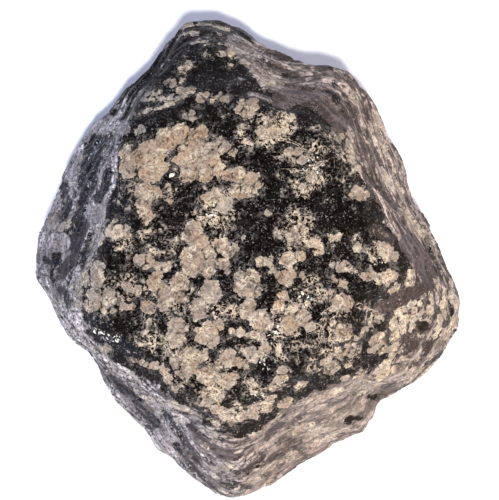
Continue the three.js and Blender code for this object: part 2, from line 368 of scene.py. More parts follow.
plan(GREY, [
    (-10.5, 53.8, 1.1), (-9, 54, 1.3), (-7.5, 53.3, 1.5), (-6, 52.8, 1.4), (-5, 53, 1.1),
    (-6.5, 51.8, 0.9), (-14.5, 53.5, 1.1), (-13, 54, 1.0), (-14.2, 33.3, 0.9), (-12.8, 33.7, 0.9),
    (-12.3, 32.7, 0.8), (-27, 32.5, 1.4), (-28, 31, 0.9), (-25, 29.5, 0.8), (-24, 30, 1.1),
    (-27, 25.5, 1.8), (-24, 38.5, 1.1), (-22.5, 38.3, 1.1), (-21, 38.3, 1.1), (-20, 38.6, 1.0),
    (-25.5, 36.9, 1.1), (-23.5, 37, 1.1), (-21.5, 37.2, 1.1), (-19.5, 37.4, 1.1), (-17.5, 37.3, 1.0),
    (-16, 37.2, 0.9),
])
plan(TAN, [
    (-15.5, 51.3, 0.9), (-14, 51.9, 1.0), (-12.4, 52.2, 1.0), (-11.3, 51.9, 0.7), (-11, 50.5, 0.9),
    (-10, 49.9, 1.2), (-9.2, 49.3, 0.9), (-9.3, 47.3, 0.8), (-5.8, 49.4, 0.8), (-4.6, 49, 1.2),
    (-3.3, 48.6, 1.4), (-2, 48, 1.0), (-3.5, 47.2, 1.0), (-5.5, 47.3, 0.7), (-2.8, 46.4, 0.7),
    (-4.2, 44.8, 0.6), (-15.2, 43.8, 1.1), (-13.8, 44.2, 1.3), (-13, 45, 0.9), (-18.3, 41, 1.0),
    (-16.5, 40.7, 1.4), (-15.3, 40.9, 1.1), (-14.8, 39.3, 1.3), (-13.3, 38.9, 1.1), (-12.2, 39, 0.8),
    (-14, 37.8, 1.0), (-10.5, 36.8, 1.0), (-9.3, 37.8, 0.9), (-10.8, 38.2, 0.6), (-6.6, 37.9, 0.9),
    (-5.5, 37.2, 1.0), (-4.7, 36.4, 0.8), (1, 44.5, 1.1), (1.5, 43.2, 1.1), (2.8, 42.6, 1.1),
])
plan(CREAM, [
    (-24.3, 33.9, 0.7), (-22.8, 34.2, 0.7), (-21.3, 34.7, 0.7), (-19.8, 35.2, 0.7), (-18.2, 35.8, 0.7),
    (-16.8, 36.3, 0.8), (4, 40.8, 1.3), (5.5, 40.5, 1.3), (7, 40.8, 1.3), (8.5, 41, 1.0),
])
print("flakes so far:", len(flakes))

# %% [markdown]
# Where flakes grew close together they merged into a crust, which here is large and ochre. Its
# holes, where glass still shows, go in a list of their own.

# %% The ochre crust and its holes
plan(OCHRE, [
    (-15, 29, 2.7), (-12, 28, 2.9), (-18.5, 27, 3.1), (-22, 25.5, 3.1), (-25.5, 23.5, 2.7),
    (-27, 21.5, 2.2), (-27.5, 24.5, 2.0), (-22, 21, 2.9), (-19.5, 23.5, 2.7), (-14, 24.5, 3.1),
    (-10.5, 24, 3.1), (-13, 20.5, 2.7), (-9.5, 20.5, 2.2), (-10.5, 30, 1.6), (-8, 23.5, 1.8),
    (-6.5, 21, 1.8), (-5, 20, 1.6), (-23, 16, 2.5), (-20.5, 16, 1.1), (-24, 13.5, 1.8), (-23, 11, 2.0),
    (-17.5, 17, 1.3), (-18.5, 15.5, 1.1), (-17, 14.5, 0.9),
])
crust_holes = [(-17, 25, 0.9), (-18, 23.5, 1.1), (-17, 21.5, 0.9), (-19, 18.5, 1.1), (-17, 18.5, 1.3)]
print("flakes so far:", len(flakes))

# %% Flakes of the upper middle and right
plan(TAN, [
    (-6.5, 27.5, 1.3), (-5, 26.5, 1.8), (-3.5, 25, 1.3), (-7.5, 26.5, 1.1), (-8.5, 25.5, 1.1),
    (-2, 35, 1.2), (-1.2, 36.2, 1.2), (0.3, 36, 1.5), (1.2, 36.8, 1.0), (0.5, 34.2, 1.4), (-1, 33.7, 1.2),
    (1.5, 35, 1.0), (9, 25, 1.3), (11, 25, 0.9), (12.5, 23.5, 1.1), (15.8, 35.8, 0.9), (16.3, 35, 1.1),
    (16.9, 34, 0.9), (20.5, 28.5, 1.5), (21, 29.5, 1.0), (22.3, 27.3, 1.0), (14, 19.5, 1.3),
    (25, 16, 1.8), (26.5, 15.5, 1.3), (23.5, 15.5, 1.1),
])
plan(OCHRE, [
    (-2, 20, 2.0), (0.5, 19, 2.0), (-0.5, 16.5, 2.2), (-2.5, 16.5, 1.8), (1.5, 16, 1.3), (2, 18, 1.1),
    (-8, 15, 2.0),
])
plan(CREAM, [
    (4.5, 32, 1.6), (6, 30, 1.8), (8, 31.5, 1.3), (3.5, 30, 1.3), (9.5, 33, 1.1), (4.5, 28.5, 1.1),
    (8.5, 30, 0.9), (-5.5, 13.5, 2.0), (12.5, 17, 1.0), (4.5, 11.5, 0.9),
])
print("flakes so far:", len(flakes))

# %% Flakes of the middle
plan(TAN, [
    (-12.5, 7, 2.8), (-11, 4.8, 2.2), (-9, 2.5, 1.8), (-12, 1.5, 3.0), (-9, -0.8, 2.6),
    (-12.6, -1.4, 1.9), (-6, 4.3, 2.0), (-4, 2.8, 2.0), (-4.5, -1.5, 0.9), (-0.3, -4.2, 3.3),
    (2, -6, 1.4), (-8.3, -6.2, 2.7), (-11, -10.3, 2.5), (0.3, -9.6, 1.8), (-1, -11, 1.1),
    (10.5, 6.5, 2.3), (12.3, 7.2, 1.6), (9, 0.8, 2.0), (12, 2, 1.3), (8.3, -3.3, 2.1), (10.3, -2.3, 1.2),
    (12, -2.5, 0.9), (-1, 6, 0.6), (6, -11, 1.1), (12.2, -12, 2.1), (9.8, -10.3, 2.0), (2.8, -12.8, 2.8),
    (1.5, -16.2, 1.6), (3.5, -16, 1.3),
])
plan(OCHRE, [(-5, 0, 1.6), (8, -7.3, 1.3), (7.3, -9.5, 1.7), (9.4, -13.8, 2.3)])
plan(CREAM, [
    (2.5, 0.5, 1.3), (4.5, 0.5, 1.3), (5.5, -1, 1.1), (14, -14, 1.3), (-3.5, -15.5, 1.1), (-2, -15.5, 0.9),
])
print("flakes so far:", len(flakes))

# %% Flakes of the left
plan(TAN, [
    (-24, 1, 1.6), (-22, 1, 1.6), (-20, -0.5, 1.3), (-18.5, -0.5, 1.3), (-22.5, -0.5, 1.1),
    (-33, 5.5, 1.3), (-15.8, -14.2, 2.1), (-16.2, -16.8, 2.3), (-25.5, -21.5, 1.1), (-23.5, -22, 1.1),
    (-35.5, -9, 2.0), (-34, -9, 1.8), (-32.5, -10.5, 1.3), (-30.5, -10, 1.1), (-28.5, -9.5, 1.1),
])
plan(OCHRE, [
    (-20.8, -3.8, 2.3), (-15.4, -4.2, 2.6), (-18, -6.6, 2.3), (-15.2, -7.2, 1.7), (-19.4, -8.8, 1.8),
    (-26, -9.5, 1.3), (-22.8, -9.5, 2.0),
])
plan(GREY, [
    (-27, -5, 1.1), (-25, -6, 1.3), (-36.5, -4, 1.8), (-34.5, -4.5, 1.8), (-32, -4.5, 1.3),
    (-33.5, -6.5, 1.3), (-31.5, -6, 1.1), (-34.5, 12.5, 1.2), (-33, 11.5, 1.3), (-35, 9.5, 1.2),
    (-34, 8, 1.2), (-34, -1, 2.0), (-36, 0.5, 1.4), (-33, -19, 1.1), (-31.5, -19.3, 1.1),
    (-38, -5.5, 2.3), (-34.8, -7.5, 2.6), (-31.3, -8, 2.4), (-37.2, -2.2, 2.0), (-33.5, -3.3, 2.2),
    (-39.8, -10, 1.3), (-37.8, -9.3, 1.4), (-29, -8.3, 1.8), (-35, 4, 1.6),
])
plan(CREAM, [(-31, 7.5, 1.7), (-29.3, 7.5, 2.1), (-27.3, 7, 1.6), (-29.8, 9.6, 1.1), (-22, -13.5, 1.1)])
print("flakes so far:", len(flakes))

# %% Flakes of the left side
plan(GREY, [
    (-32.5, 26, 1.0), (-31.5, 25.5, 1.0), (-33.5, 18.3, 0.8), (-37.5, -4.5, 1.6), (-39.5, -5, 1.0),
    (-18.5, -39, 1.4), (-37, 24, 0.9), (-38.6, 13, 0.9), (-39.5, 17.5, 0.9), (-42, -8.5, 1.0),
])
plan(TAN, [(-43.8, 9, 1.6), (-42.3, 8.6, 1.6), (-41, 9, 1.3), (-44.3, 10, 1.1)])
print("flakes so far:", len(flakes))

# %% Flakes of the near end
plan(TAN, [
    (-9, -16, 3.1), (-6.5, -14, 1.6), (-21, -23, 1.3), (-19, -24, 1.3), (-12.8, -21.6, 2.7),
    (-10, -21, 1.2), (-4.5, -21.4, 2.3), (-2, -22, 1.3), (-6.8, -23.4, 1.7), (-9.2, -24.8, 2.5),
    (-5.6, -26, 2.3), (-3.2, -25, 1.4), (-7.8, -29.2, 2.7), (1, -27, 1.1), (1.5, -29, 0.9),
    (7.5, -24, 1.1), (7.5, -26.5, 1.8), (6, -28, 1.3), (8, -27, 1.1), (5.5, -30, 1.1), (11.8, -27.3, 1.6),
    (8.3, -31.3, 2.0), (4, -31.8, 2.3), (1.2, -33.3, 2.1), (-9.5, -31.5, 1.3), (-6.8, -32.8, 1.8),
    (-4.4, -34, 2.2), (-1.4, -34, 2.0), (-7, -36, 1.3), (-3.5, -35.5, 1.6), (1.5, -38.5, 1.1),
    (3.5, -38, 1.1), (-16.5, -28, 0.9), (-18, -26, 1.4), (-14.5, -24.5, 1.6), (-12.5, -24, 1.2),
    (-16.5, -22.5, 1.3),
])
plan(GREY, [
    (0.8, -20, 2.1), (-7.3, -46.3, 1.4), (-5.6, -45.8, 1.4), (-4, -45.2, 1.1), (-1.5, -47.5, 1.0),
])
plan(OCHRE, [(3.4, -19.4, 1.7)])
plan(CREAM, [(-0.5, -21.5, 0.9), (-0.5, -23, 0.7)])
print("flakes so far:", len(flakes))

# %% Flakes of the right and the nose
plan(TAN, [
    (24.5, 4, 1.2), (31, 3, 2.4), (33, 1.8, 1.4), (31.3, -3.1, 2.1), (33.2, -2.8, 1.2), (29.8, -4, 1.1),
    (33.5, -5.2, 1.2), (32.8, -6.2, 1.0), (21, -0.5, 1.3), (23, -1, 1.3), (24, -1, 0.9),
    (21.5, -8.5, 2.6), (20, -9.5, 1.6), (19, 0, 0.9), (26.5, -2.5, 1.1), (27.5, -2, 1.3),
    (19.5, -3.5, 0.9), (21.5, -4.5, 1.0), (19, -6, 0.9), (21.3, -15.8, 2.3), (22.8, -14.8, 1.2),
    (18.8, -23.4, 2.2), (20.5, -20.5, 1.3), (22, -20, 1.3), (21, -19.5, 1.3), (23.5, -20.5, 1.6),
    (22.5, -18.5, 1.1), (24, -18, 1.1), (26, -15.5, 1.1), (27.5, -13.5, 0.9), (29.3, -17.6, 2.4),
    (30.3, -19.4, 1.3), (28, -19.2, 1.2), (25.8, -24.2, 1.3), (24.9, -25.6, 1.3), (26.6, -26.6, 0.8),
    (25.6, -27.4, 0.9), (24.6, -28.2, 0.8), (22.5, -23, 0.9), (22, -25.5, 1.0), (16.2, -29.6, 1.1),
    (17.6, -29, 1.1), (14.5, -30.5, 0.9), (30, -11.5, 1.0), (28.8, -12.6, 1.0), (26.6, -14.7, 1.0),
    (25.6, -15.9, 1.0), (24.6, -17, 1.0), (21.3, -19.5, 1.0), (20, -20.4, 1.0), (18.5, -21.2, 1.0),
    (17, -22, 0.9),
])
plan(CREAM, [
    (15, 4.5, 1.6), (15, 3, 1.1), (16.5, 3.5, 0.9), (19, 5.5, 1.1), (20, 6, 0.9), (19, 4, 0.7),
    (33.2, -16.5, 1.6), (33.4, -18.4, 1.6), (31, -22.5, 1.8), (30.5, -24.5, 1.8), (33, -24, 1.2),
    (32.6, -20.5, 1.0), (35, -13, 1.9), (33, -13.6, 1.5), (35, -15.2, 1.1),
], 0.2)
print("flakes so far:", len(flakes))

# %% Flakes of the nose and the right side
plan(PALE, [
    (36.8, -2.8, 1.4), (36.6, -4.4, 1.5), (39.5, -2, 1.1), (42.2, -3.6, 1.2), (42.5, -5.3, 1.2),
    (42.8, -6.8, 1.0), (39.8, -7.2, 0.9), (41.2, -6.9, 1.0), (41.7, -8.6, 1.1), (41.2, -10, 1.2),
    (41, -11.5, 1.2), (40.5, -12.4, 0.9), (44.4, -6.2, 1.1), (44.2, -7.8, 1.1), (44, -9, 1.3),
    (45, -9.9, 1.6), (44.6, -11, 1.0), (46, -4, 1.0), (46.7, -6, 1.0), (47, -8, 1.0), (46.8, -10.8, 1.1),
    (46.2, -12.8, 1.3), (45.3, -14.8, 1.3), (44, -17.8, 1.0), (43, -12.9, 1.4), (42.6, -14.4, 1.6),
    (42, -16, 1.4), (40.8, -16.2, 0.9), (39.2, -16.3, 0.8), (34, -11, 1.1), (35.2, -10.2, 1.1),
    (36.4, -9.1, 1.2), (37.6, -8.8, 1.2), (38.6, -9, 1.0), (37.6, -10.3, 1.3), (38.6, -11.4, 1.2),
    (37.4, -12.2, 1.2), (37.2, -14.2, 1.0), (35, -21.3, 1.1), (34.6, -19.4, 1.1), (38.6, -19.8, 1.1),
    (38, -21, 1.2), (41.3, -20.6, 0.9),
], 0.25)
plan(PALE, [(20.2, 28.6, 1.3), (23.2, 25.5, 1.7), (23.5, 23.5, 1.8), (24.3, 22, 1.4)], 0.2)
plan(PALE, [(31, 27.5, 1.3), (31.2, 26.3, 1.2)])
plan(CREAM, [(23.9, 38.1, 2.0)])
print("flakes on the plan:", len(flakes))

# %% [markdown]
# ## From plan to skin
# A flake's edge is the line where the surface crosses its ball. So each point of the skin stores
# its gap: how far it is from the nearest ball, in millimetres, below zero inside one. The gap
# changes evenly over the skin, so a mesh of this fineness carries it well, and the material can
# then cut a crisp and ragged edge from it at any closeness. Painting a colour on the points
# instead would blur every edge to the width of a face.
#
# The sides and the underside are strewn with flakes too, at places drawn by lot from a fixed
# seed. There the flow has drawn them out along its layers.

# %% Drop the flakes on to the skin
stone_finder = surface_finder(stone_mesh)
placed = [(dropped(stone_finder, x, y), radius, tint) for x, y, radius, tint in flakes]
missed = [flake for flake, drop in zip(flakes, placed) if drop[0] is None]
placed = [drop for drop in placed if drop[0] is not None]
holes = [(dropped(stone_finder, x, y), radius) for x, y, radius in crust_holes]
print("dropped", len(placed), "flakes; off the stone:", [flake[:2] for flake in missed])

# %% Strew the sides and the underside
SIDE_TRIES = 5200
TAUPE = (0.31, 0.26, 0.232)
SILVER = (0.31, 0.285, 0.27)
CROWDED_SIDE = Vector((0.62, -0.78, 0))
CLUSTER_WIDTH = 13.0
rng = random.Random(11)
skin_normals = normal_array(stone_mesh)


def crowding(point):
    """The share of flakes that is kept: most on the near right side, least on the far left."""
    outward = Vector((point[0], point[1], 0)).normalized()
    gathered = noise.noise(Vector(point) / CLUSTER_WIDTH)
    return 0.22 + 0.26 * outward.dot(CROWDED_SIDE) + 0.75 * gathered + 0.16 * min(outward.x, 0)


def strewn(tries):
    """Flakes at random points of the sides and underside, in loose clusters."""
    found = []
    for _ in range(tries):
        index = rng.randrange(len(stone_points))
        facing_up = skin_normals[index][2] > 0.5
        if facing_up or rng.random() > crowding(stone_points[index]):
            continue
        radius = rng.uniform(0.6, 1.4) + 2.6 * rng.random() ** 4
        on_warm_side = stone_points[index][0] > 0
        tint = TAUPE if on_warm_side and rng.random() < 0.6 else SILVER
        found.append((Vector(stone_points[index]), radius, tint))
    return found


side_flakes = strewn(SIDE_TRIES)
print("strewn", len(side_flakes), "flakes on the sides")

# %% Measure the gap and choose the tint at every point
SIDE_STRETCH = 1.8
MELTING = 0.5


def nearest_flakes(points, placed_flakes, upright_stretch):
    """For each point: its gap to the melted flakes, its seam gap, and the number of its nearest."""
    melted = np.full(len(points), FAR_OFF)
    nearest = np.full(len(points), FAR_OFF)
    second = np.full(len(points), FAR_OFF)
    number = np.zeros(len(points), dtype=int)
    for index, (middle, radius, _) in enumerate(placed_flakes):
        away = points - np.array(middle)
        away[:, 2] *= upright_stretch
        distance = np.linalg.norm(away, axis=1) - radius
        share = np.clip(0.5 + 0.5 * (melted - distance) / MELTING, 0, 1)
        melted = melted + share * (distance - melted) - MELTING * share * (1 - share)
        closer = distance < nearest
        second = np.where(closer, nearest, np.minimum(second, distance))
        nearest[closer] = distance[closer]
        number[closer] = index
    return melted, second - nearest, number


gap_plan, seam_plan, number_plan = nearest_flakes(stone_points, placed, 1.0)
gap_side, seam_side, number_side = nearest_flakes(stone_points, side_flakes, SIDE_STRETCH)
for middle, radius in holes:
    gap_plan = np.maximum(gap_plan, radius - away_from(stone_points, middle))
from_plan = gap_plan < gap_side
gap = np.minimum(gap_plan, gap_side)
pit_inside = np.full(len(stone_points), -DEEPEST)
for middle, (_, _, radius) in zip(pit_middles, PITS):
    pit_inside = np.maximum(pit_inside, PIT_RIM * radius - away_from(stone_points, middle))
seam_gap = np.minimum(np.where(from_plan, seam_plan, seam_side), np.abs(gap_plan - gap_side))
shade = [rng.uniform(0.84, 1.14) for _ in placed + side_flakes]
tints = np.array([tint for _, _, tint in placed + side_flakes]) * np.array(shade)[:, None]
number = np.where(from_plan, number_plan, number_side + len(placed))
print("flakes cover", round(float((gap < 0).mean()), 2), "of the points")

# %% [markdown]
# Frost is the felt of fine pale threads that fills the glass between some of the flakes. It gets
# a density from 0 to 1 at every point, from soft round patches laid out on the same plan. The
# painted glints of chips, painted highlights, gather in patches too.

# %% Density of the frost and of the glints
FROST = [
    (6, 30.5, 5, 1.0), (0, 28, 3.5, 0.7), (16, 23, 9, 0.65), (-7.5, 12, 5.5, 0.9), (11.5, 8, 5, 0.9),
    (27.5, 3, 4, 0.7), (13.5, -6, 5, 0.8), (-8, -28, 10, 0.5), (1, -31, 7, 0.4), (-22.5, -16, 5, 0.8),
    (-5, -11, 4, 0.8), (16, -21, 5, 0.6), (-28, 4.5, 3.5, 0.9), (-16, -8, 6, 0.7), (-24, 18, 8, 0.5),
    (-12, 24, 8, 0.4), (12, 17, 3, 1.0), (-6, 37, 3, 0.7), (-15, -20, 6, 0.7), (17, -14, 5, 0.7),
    (9, -18, 6, 0.75), (23.5, -20, 4, 0.6), (-20, 5, 5, 0.6), (-26, -5, 5, 0.65), (27, -11.5, 3.5, 0.7),
    (0, -20, 5, 0.5),
]
GLINTS = [
    (-33.8, -15.3, 1.3), (-32, -16.2, 1.3), (-29.3, -17.1, 1.6), (-35, 24.5, 2.5), (-33.5, 27.5, 2),
    (4, -22, 2), (-35, 18.5, 2), (6, -15, 3), (13, -8, 2), (30, 0.5, 2), (-17, 20, 0.9), (2, -30, 2),
    (-8, 12, 2), (15, 22, 3),
]


def soft_patch(x, y, radius, inward):
    """1 in the middle of a round patch; it fades from a share of the radius inward to 0 outside."""
    inside = radius - away_from(stone_points, dropped(stone_finder, x, y))
    return ramp(inside, -0.5 * radius, inward * radius)


frost = np.zeros(len(stone_points))
for x, y, radius, density in FROST:
    frost = np.maximum(frost, density * soft_patch(x, y, radius, 0.6))
glint = np.zeros(len(stone_points))
for x, y, radius in GLINTS:
    glint = np.maximum(glint, soft_patch(x, y, radius, 0.5))
print("frost covers", round(float((frost > 0.3).mean()), 2), "of the points")

# %% [markdown]
# The steep sides carry a pale crust where the glass has weathered, thick on the sides that lay in
# damp ground and thin on the others. How much there is goes by compass bearing round the stone,
# counted from the right and turning left, and so does a painted light tint: cool where the cool
# light falls on the far left, warm where the warm light falls on the near right. Both borders turn
# ragged lower down. The sheer edge at the right is painted dark, painted shade where the side turns
# under, the lower right side is rubbed smooth, and the glass round the nose is brown. Knocks have
# worn every ridge pale. A ridge is found as a place that a stronger smoothing would pull in.

# %% Crust by bearing, and worn ridges
CRUST_BEARINGS = [0, 23, 45, 61, 75, 92, 98, 115, 132, 151, 170, 187, 212, 237, 253, 267, 280, 300, 325, 340]
CRUST_SHARES = [
    0.5, 0.95, 1.0, 0.85, 0.75, 0.75, 0.15, 0.1, 0.4, 0.6, 0.72, 0.62, 0.57, 0.57, 0.6, 0.6, 0.9, 1.0,
    0.8, 0.35,
]
WARM_LIGHT_BEARING = -5
BROWN_MIDDLE = (40, -11)
BROWN_REACH = 15
BROWN_FADE = 7
SHADED_EDGE_BEARING = 28
POLISHED_BEARING = -62
RIDGE_PASSES = 40
bearing = np.degrees(np.arctan2(stone_points[:, 1], stone_points[:, 0]))
low_down = ramp(48 - stone_points[:, 2], 0, 22)
ragged = bearing + 26 * low_down * noise_field(stone_points, 13, 21)
crust = np.interp(ragged % 360, CRUST_BEARINGS, CRUST_SHARES, period=360)
# A painted light tint by bearing: 1 where warm light falls on the near right, 0 where cool light falls on
# the far left. It also sets how grainy and streaked the crust is.
warm_lit_side = np.cos(np.radians(ragged - WARM_LIGHT_BEARING)) + 0.15 * noise_field(stone_points, 6, 23)
warmth = ramp(warm_lit_side, -0.35, 0.20)
softer_mesh = smoothed(stone_mesh.copy(), RIDGE_PASSES)
stands_out = np.sum((stone_points - point_array(softer_mesh)) * skin_normals, axis=1)
ridge = ramp(stands_out, 0.12, 0.5)
# The sheer right edge is painted dark: painted shade where the steep side turns under.
at_shaded_edge_side = ramp(np.cos(np.radians(bearing - SHADED_EDGE_BEARING)), 0.6, 0.85)
sheer = ramp(1 - skin_normals[:, 2], 0.84, 0.97) * at_shaded_edge_side
polished = ramp(np.cos(np.radians(bearing - POLISHED_BEARING)), 0.78, 0.95)
side_share = ramp(1 - np.abs(normal_array(softer_mesh)[:, 2]), 0.10, 0.62)
print("ridges cover", round(float((ridge > 0.5).mean()), 3), "of the points")

# %% Store it all on the skin
def store(mesh, name, values):
    """Keeps one number for each point of the mesh."""
    attribute = mesh.attributes.new(name, "FLOAT", "POINT")
    attribute.data.foreach_set("value", np.asarray(values, dtype=np.float32))


def store_colour(mesh, name, colours):
    """Keeps one colour for each point of the mesh."""
    attribute = mesh.color_attributes.new(name, "FLOAT_COLOR", "POINT")
    opaque = np.c_[colours, np.ones(len(colours))]
    attribute.data.foreach_set("color", opaque.astype(np.float32).ravel())


hair_side = np.full(len(stone_points), DEEPEST)
for line in LONG_HAIRS:
    side = line_side(on_plan(stone_points), line)
    hair_side = np.where(np.abs(side) < np.abs(hair_side), side, hair_side)
brown_away = away_from(stone_points, dropped(stone_finder, *BROWN_MIDDLE))
kept = {
    "flake_gap": gap, "seam_gap": seam_gap, "pit_inside": pit_inside, "frost_density": frost,
    "glint_density": glint, "side_share": side_share, "crust_share": crust, "warmth": warmth,
    "ridge": ridge, "sheer": sheer, "polished": polished,
    "hair_side": np.where(skin_normals[:, 2] > 0, hair_side, DEEPEST),
    "brown_share": ramp(BROWN_REACH - brown_away, 0, BROWN_FADE),
}
drawn = {
    "bare_depth": BARE_BANDS, "dark_depth": DARK_STREAKS, "vein_depth": PALE_VEINS, "gleam_depth": GLEAMS,
}
for name, lines in drawn.items():
    kept[name] = depth_inside(lines, stone_points, skin_normals)
for name, values in kept.items():
    store(stone_mesh, name, values)
store_colour(stone_mesh, "flake_tint", tints[number])
stone = in_scene("snowflake_obsidian", stone_mesh)
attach(stone, "root")
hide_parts(STONE_NODE)
print("stone piece ready")

# %% [markdown]
# ## Shader maths as sums
# A material is a sum of patterns, so it reads best as Python sums. One small class wraps a
# socket, and Python's own signs add the Math nodes. Every other node comes from one method,
# which serves the materials and the light tent alike.

# %% A socket that can be added and multiplied
class Wire:
    """A socket, which + - * and abs() turn into Math nodes."""

    def __init__(self, finish, socket):
        self.finish = finish
        self.socket = socket

    def math(self, operation, first, second):
        return self.finish.node("ShaderNodeMath", {"operation": operation}, {0: first, 1: second})

    def __add__(self, other):
        return self.math("ADD", self, other)

    def __sub__(self, other):
        return self.math("SUBTRACT", self, other)

    def __rsub__(self, other):
        return self.math("SUBTRACT", other, self)

    def __mul__(self, other):
        return self.math("MULTIPLY", self, other)

    def __abs__(self):
        return self.math("ABSOLUTE", self, 0.0)

    __radd__ = __add__


class Finish:
    """The nodes of a material or a world, and the one method that adds to them."""

    def __init__(self, owner, last_node="Principled BSDF"):
        owner.use_nodes = True
        self.owner = owner
        self.tree = owner.node_tree
        self.shader = self.tree.nodes[last_node]

    def node(self, kind, settings=None, sockets=None, output=0):
        """Adds a node: its settings first, then values or links for its sockets."""
        made = self.tree.nodes.new(kind)
        for key, value in (settings or {}).items():
            if key == "stops":
                fill_ramp(made.color_ramp, value)
            else:
                setattr(made, key, value)
        for key, value in (sockets or {}).items():
            self.feed(made.inputs[key], value)
        return Wire(self, made.outputs[output])

    def feed(self, target, value):
        """Links a wire to a socket, or sets the socket's own value."""
        if isinstance(value, Wire):
            self.tree.links.new(value.socket, target)
        else:
            target.default_value = value

    def stored(self, name, output="Fac"):
        """What the skin stores under a name: a number, or a colour at the output Color."""
        return self.node("ShaderNodeAttribute", {"attribute_name": name}, {}, output)


def fill_ramp(color_ramp, stops):
    """Gives a ramp its stops, each a place from 0 to 1 and a colour."""
    while len(color_ramp.elements) < len(stops):
        color_ramp.elements.new(1.0)
    for element, (place, colour) in zip(color_ramp.elements, stops):
        element.position = place
        element.color = (*colour, 1)


# %% The patterns that the finish is made of
def larger(first, second):
    """The larger of two values at every place."""
    return first.math("MAXIMUM", first, second)


def smaller(first, second):
    """The smaller of two values at every place."""
    return first.math("MINIMUM", first, second)


def step(value, low, high):
    """0 up to low, 1 from high, and a smooth rise between."""
    sockets = {"Value": value, "From Min": low, "From Max": high}
    return value.finish.node("ShaderNodeMapRange", {"interpolation_type": "SMOOTHSTEP"}, sockets)


def scaled(vector, factors):
    """A vector with each of its parts multiplied."""
    return vector.finish.node("ShaderNodeVectorMath", {"operation": "MULTIPLY"}, {0: vector, 1: factors})


def brightened(colour, factor):
    """A colour multiplied by a number that varies over the skin."""
    return factor.finish.node("ShaderNodeVectorMath", {"operation": "SCALE"}, {0: colour, "Scale": factor})


def mixed(share, under, over):
    """One colour laid over another by a share from 0 to 1."""
    under = under if isinstance(under, Wire) else (*under, 1)
    over = over if isinstance(over, Wire) else (*over, 1)
    return share.finish.node("ShaderNodeMix", {"data_type": "RGBA"}, {0: share, 6: under, 7: over}, 2)


def speckle(place, size, detail=2.0, rough=0.5, swirl=0.0):
    """Noise from 0 to 1 whose lumps are about size wide, in millimetres."""
    sockets = {"Vector": place, "Scale": 1 / size, "Detail": detail, "Roughness": rough, "Distortion": swirl}
    return place.finish.node("ShaderNodeTexNoise", {}, sockets)


def curls(place, size, width, swirl=0.7, detail=0.0):
    """1 on thin threads that curl, along the level lines of a noise, and 0 between them."""
    away = abs(speckle(place, size, detail, 0.5, swirl) - 0.5)
    share = 0.5 * width / size
    return step(away * -1, -1.2 * share, -0.6 * share)


def cells(place, size, feature="F1", output=0):
    """Cells about size wide: how near a middle or an edge is, or at output 1 a tone for each."""
    sockets = {"Vector": place, "Scale": 1 / size}
    return place.finish.node("ShaderNodeTexVoronoi", {"feature": feature}, sockets, output)


def bent(place, size, amount):
    """The place pushed about by noise, so that straight patterns bend."""
    finish = place.finish
    push = finish.node("ShaderNodeTexNoise", {}, {"Vector": place, "Scale": 1 / size, "Detail": 2.0}, 1)
    centred = finish.node("ShaderNodeVectorMath", {"operation": "SUBTRACT"}, {0: push, 1: (0.5, 0.5, 0.5)})
    sockets = {0: centred, 1: (amount, amount, amount), 2: place}
    return finish.node("ShaderNodeVectorMath", {"operation": "MULTIPLY_ADD"}, sockets)


# %% [markdown]
# ## The finish of the stone
# Black glass lies under everything, dulled on the steep sides by a grey haze that is partly
# weathered skin and partly painted sheen. Over it come the dark streaks, the pale crust that
# follows the layers, the flakes, the painted shade of the sheer edge, the threads of frost, a few
# long hairs, the veins, the painted glints of the chips, and last the pits. Each layer has a cover,
# 1 where it lies and 0 elsewhere, and a face, its colour.
#
# All of it is drawn in millimetres of the stone's own space. The sides get a grain, drawn out
# along the layers and a little bent, and a space drawn out upwards, in which a pattern looks
# even from above.

# %% Places, grain and sides
finish = Finish(bpy.data.materials.new("snowflake_obsidian"))
place = scaled(finish.node("ShaderNodeTexCoord", {}, {}, "Object"), (1 / MM, 1 / MM, 1 / MM))
grain = bent(scaled(place, (0.4, 0.4, 1.0)), 2.0, 1.3)
upright = scaled(place, (1.0, 1.0, 0.45))
# warm and cool carry the painted light tint: warm on the near right sides, cool on the far left steep sides.
warm = finish.stored("warmth")
on_side = finish.stored("side_share")
rubbed = finish.stored("polished")
cool = on_side * (1 - warm)


def by_light_side(cool_colour, warm_colour):
    """A painted light tint: the cool colour where cool light falls on the far left sides, and the warm one
    where warm light falls on the near right.
    """
    return mixed(warm, cool_colour, warm_colour)


# %% [markdown]
# The lines drawn on the plan get torn edges, and the flakes their lobes and rags. The stored
# distances are smooth, so noise in millimetres can simply be added to them. A dark seam stays
# where two flakes only just touch, and where the frost is thick it eats into the flakes.

# %% Covers of the drawn lines
def drawn_cover(name, tear):
    """1 inside the drawn lines of a name and 0 off them, torn along the grain by some millimetres."""
    streaks = (speckle(grain, 1.5, 3, 0.65) - 0.5) * (1.8 * tear)
    rags = (speckle(upright, 1.0, 4, 0.75) - 0.5) * (2.4 * tear)
    return step(finish.stored(name) + streaks + rags, -0.15, 0.3)


bare_here = drawn_cover("bare_depth", 1.2)
dark_here = drawn_cover("dark_depth", 1.5)
vein_here = drawn_cover("vein_depth", 0.8) * (1 - dark_here)
uncovered = (1 - bare_here) * (1 - dark_here * 0.9)

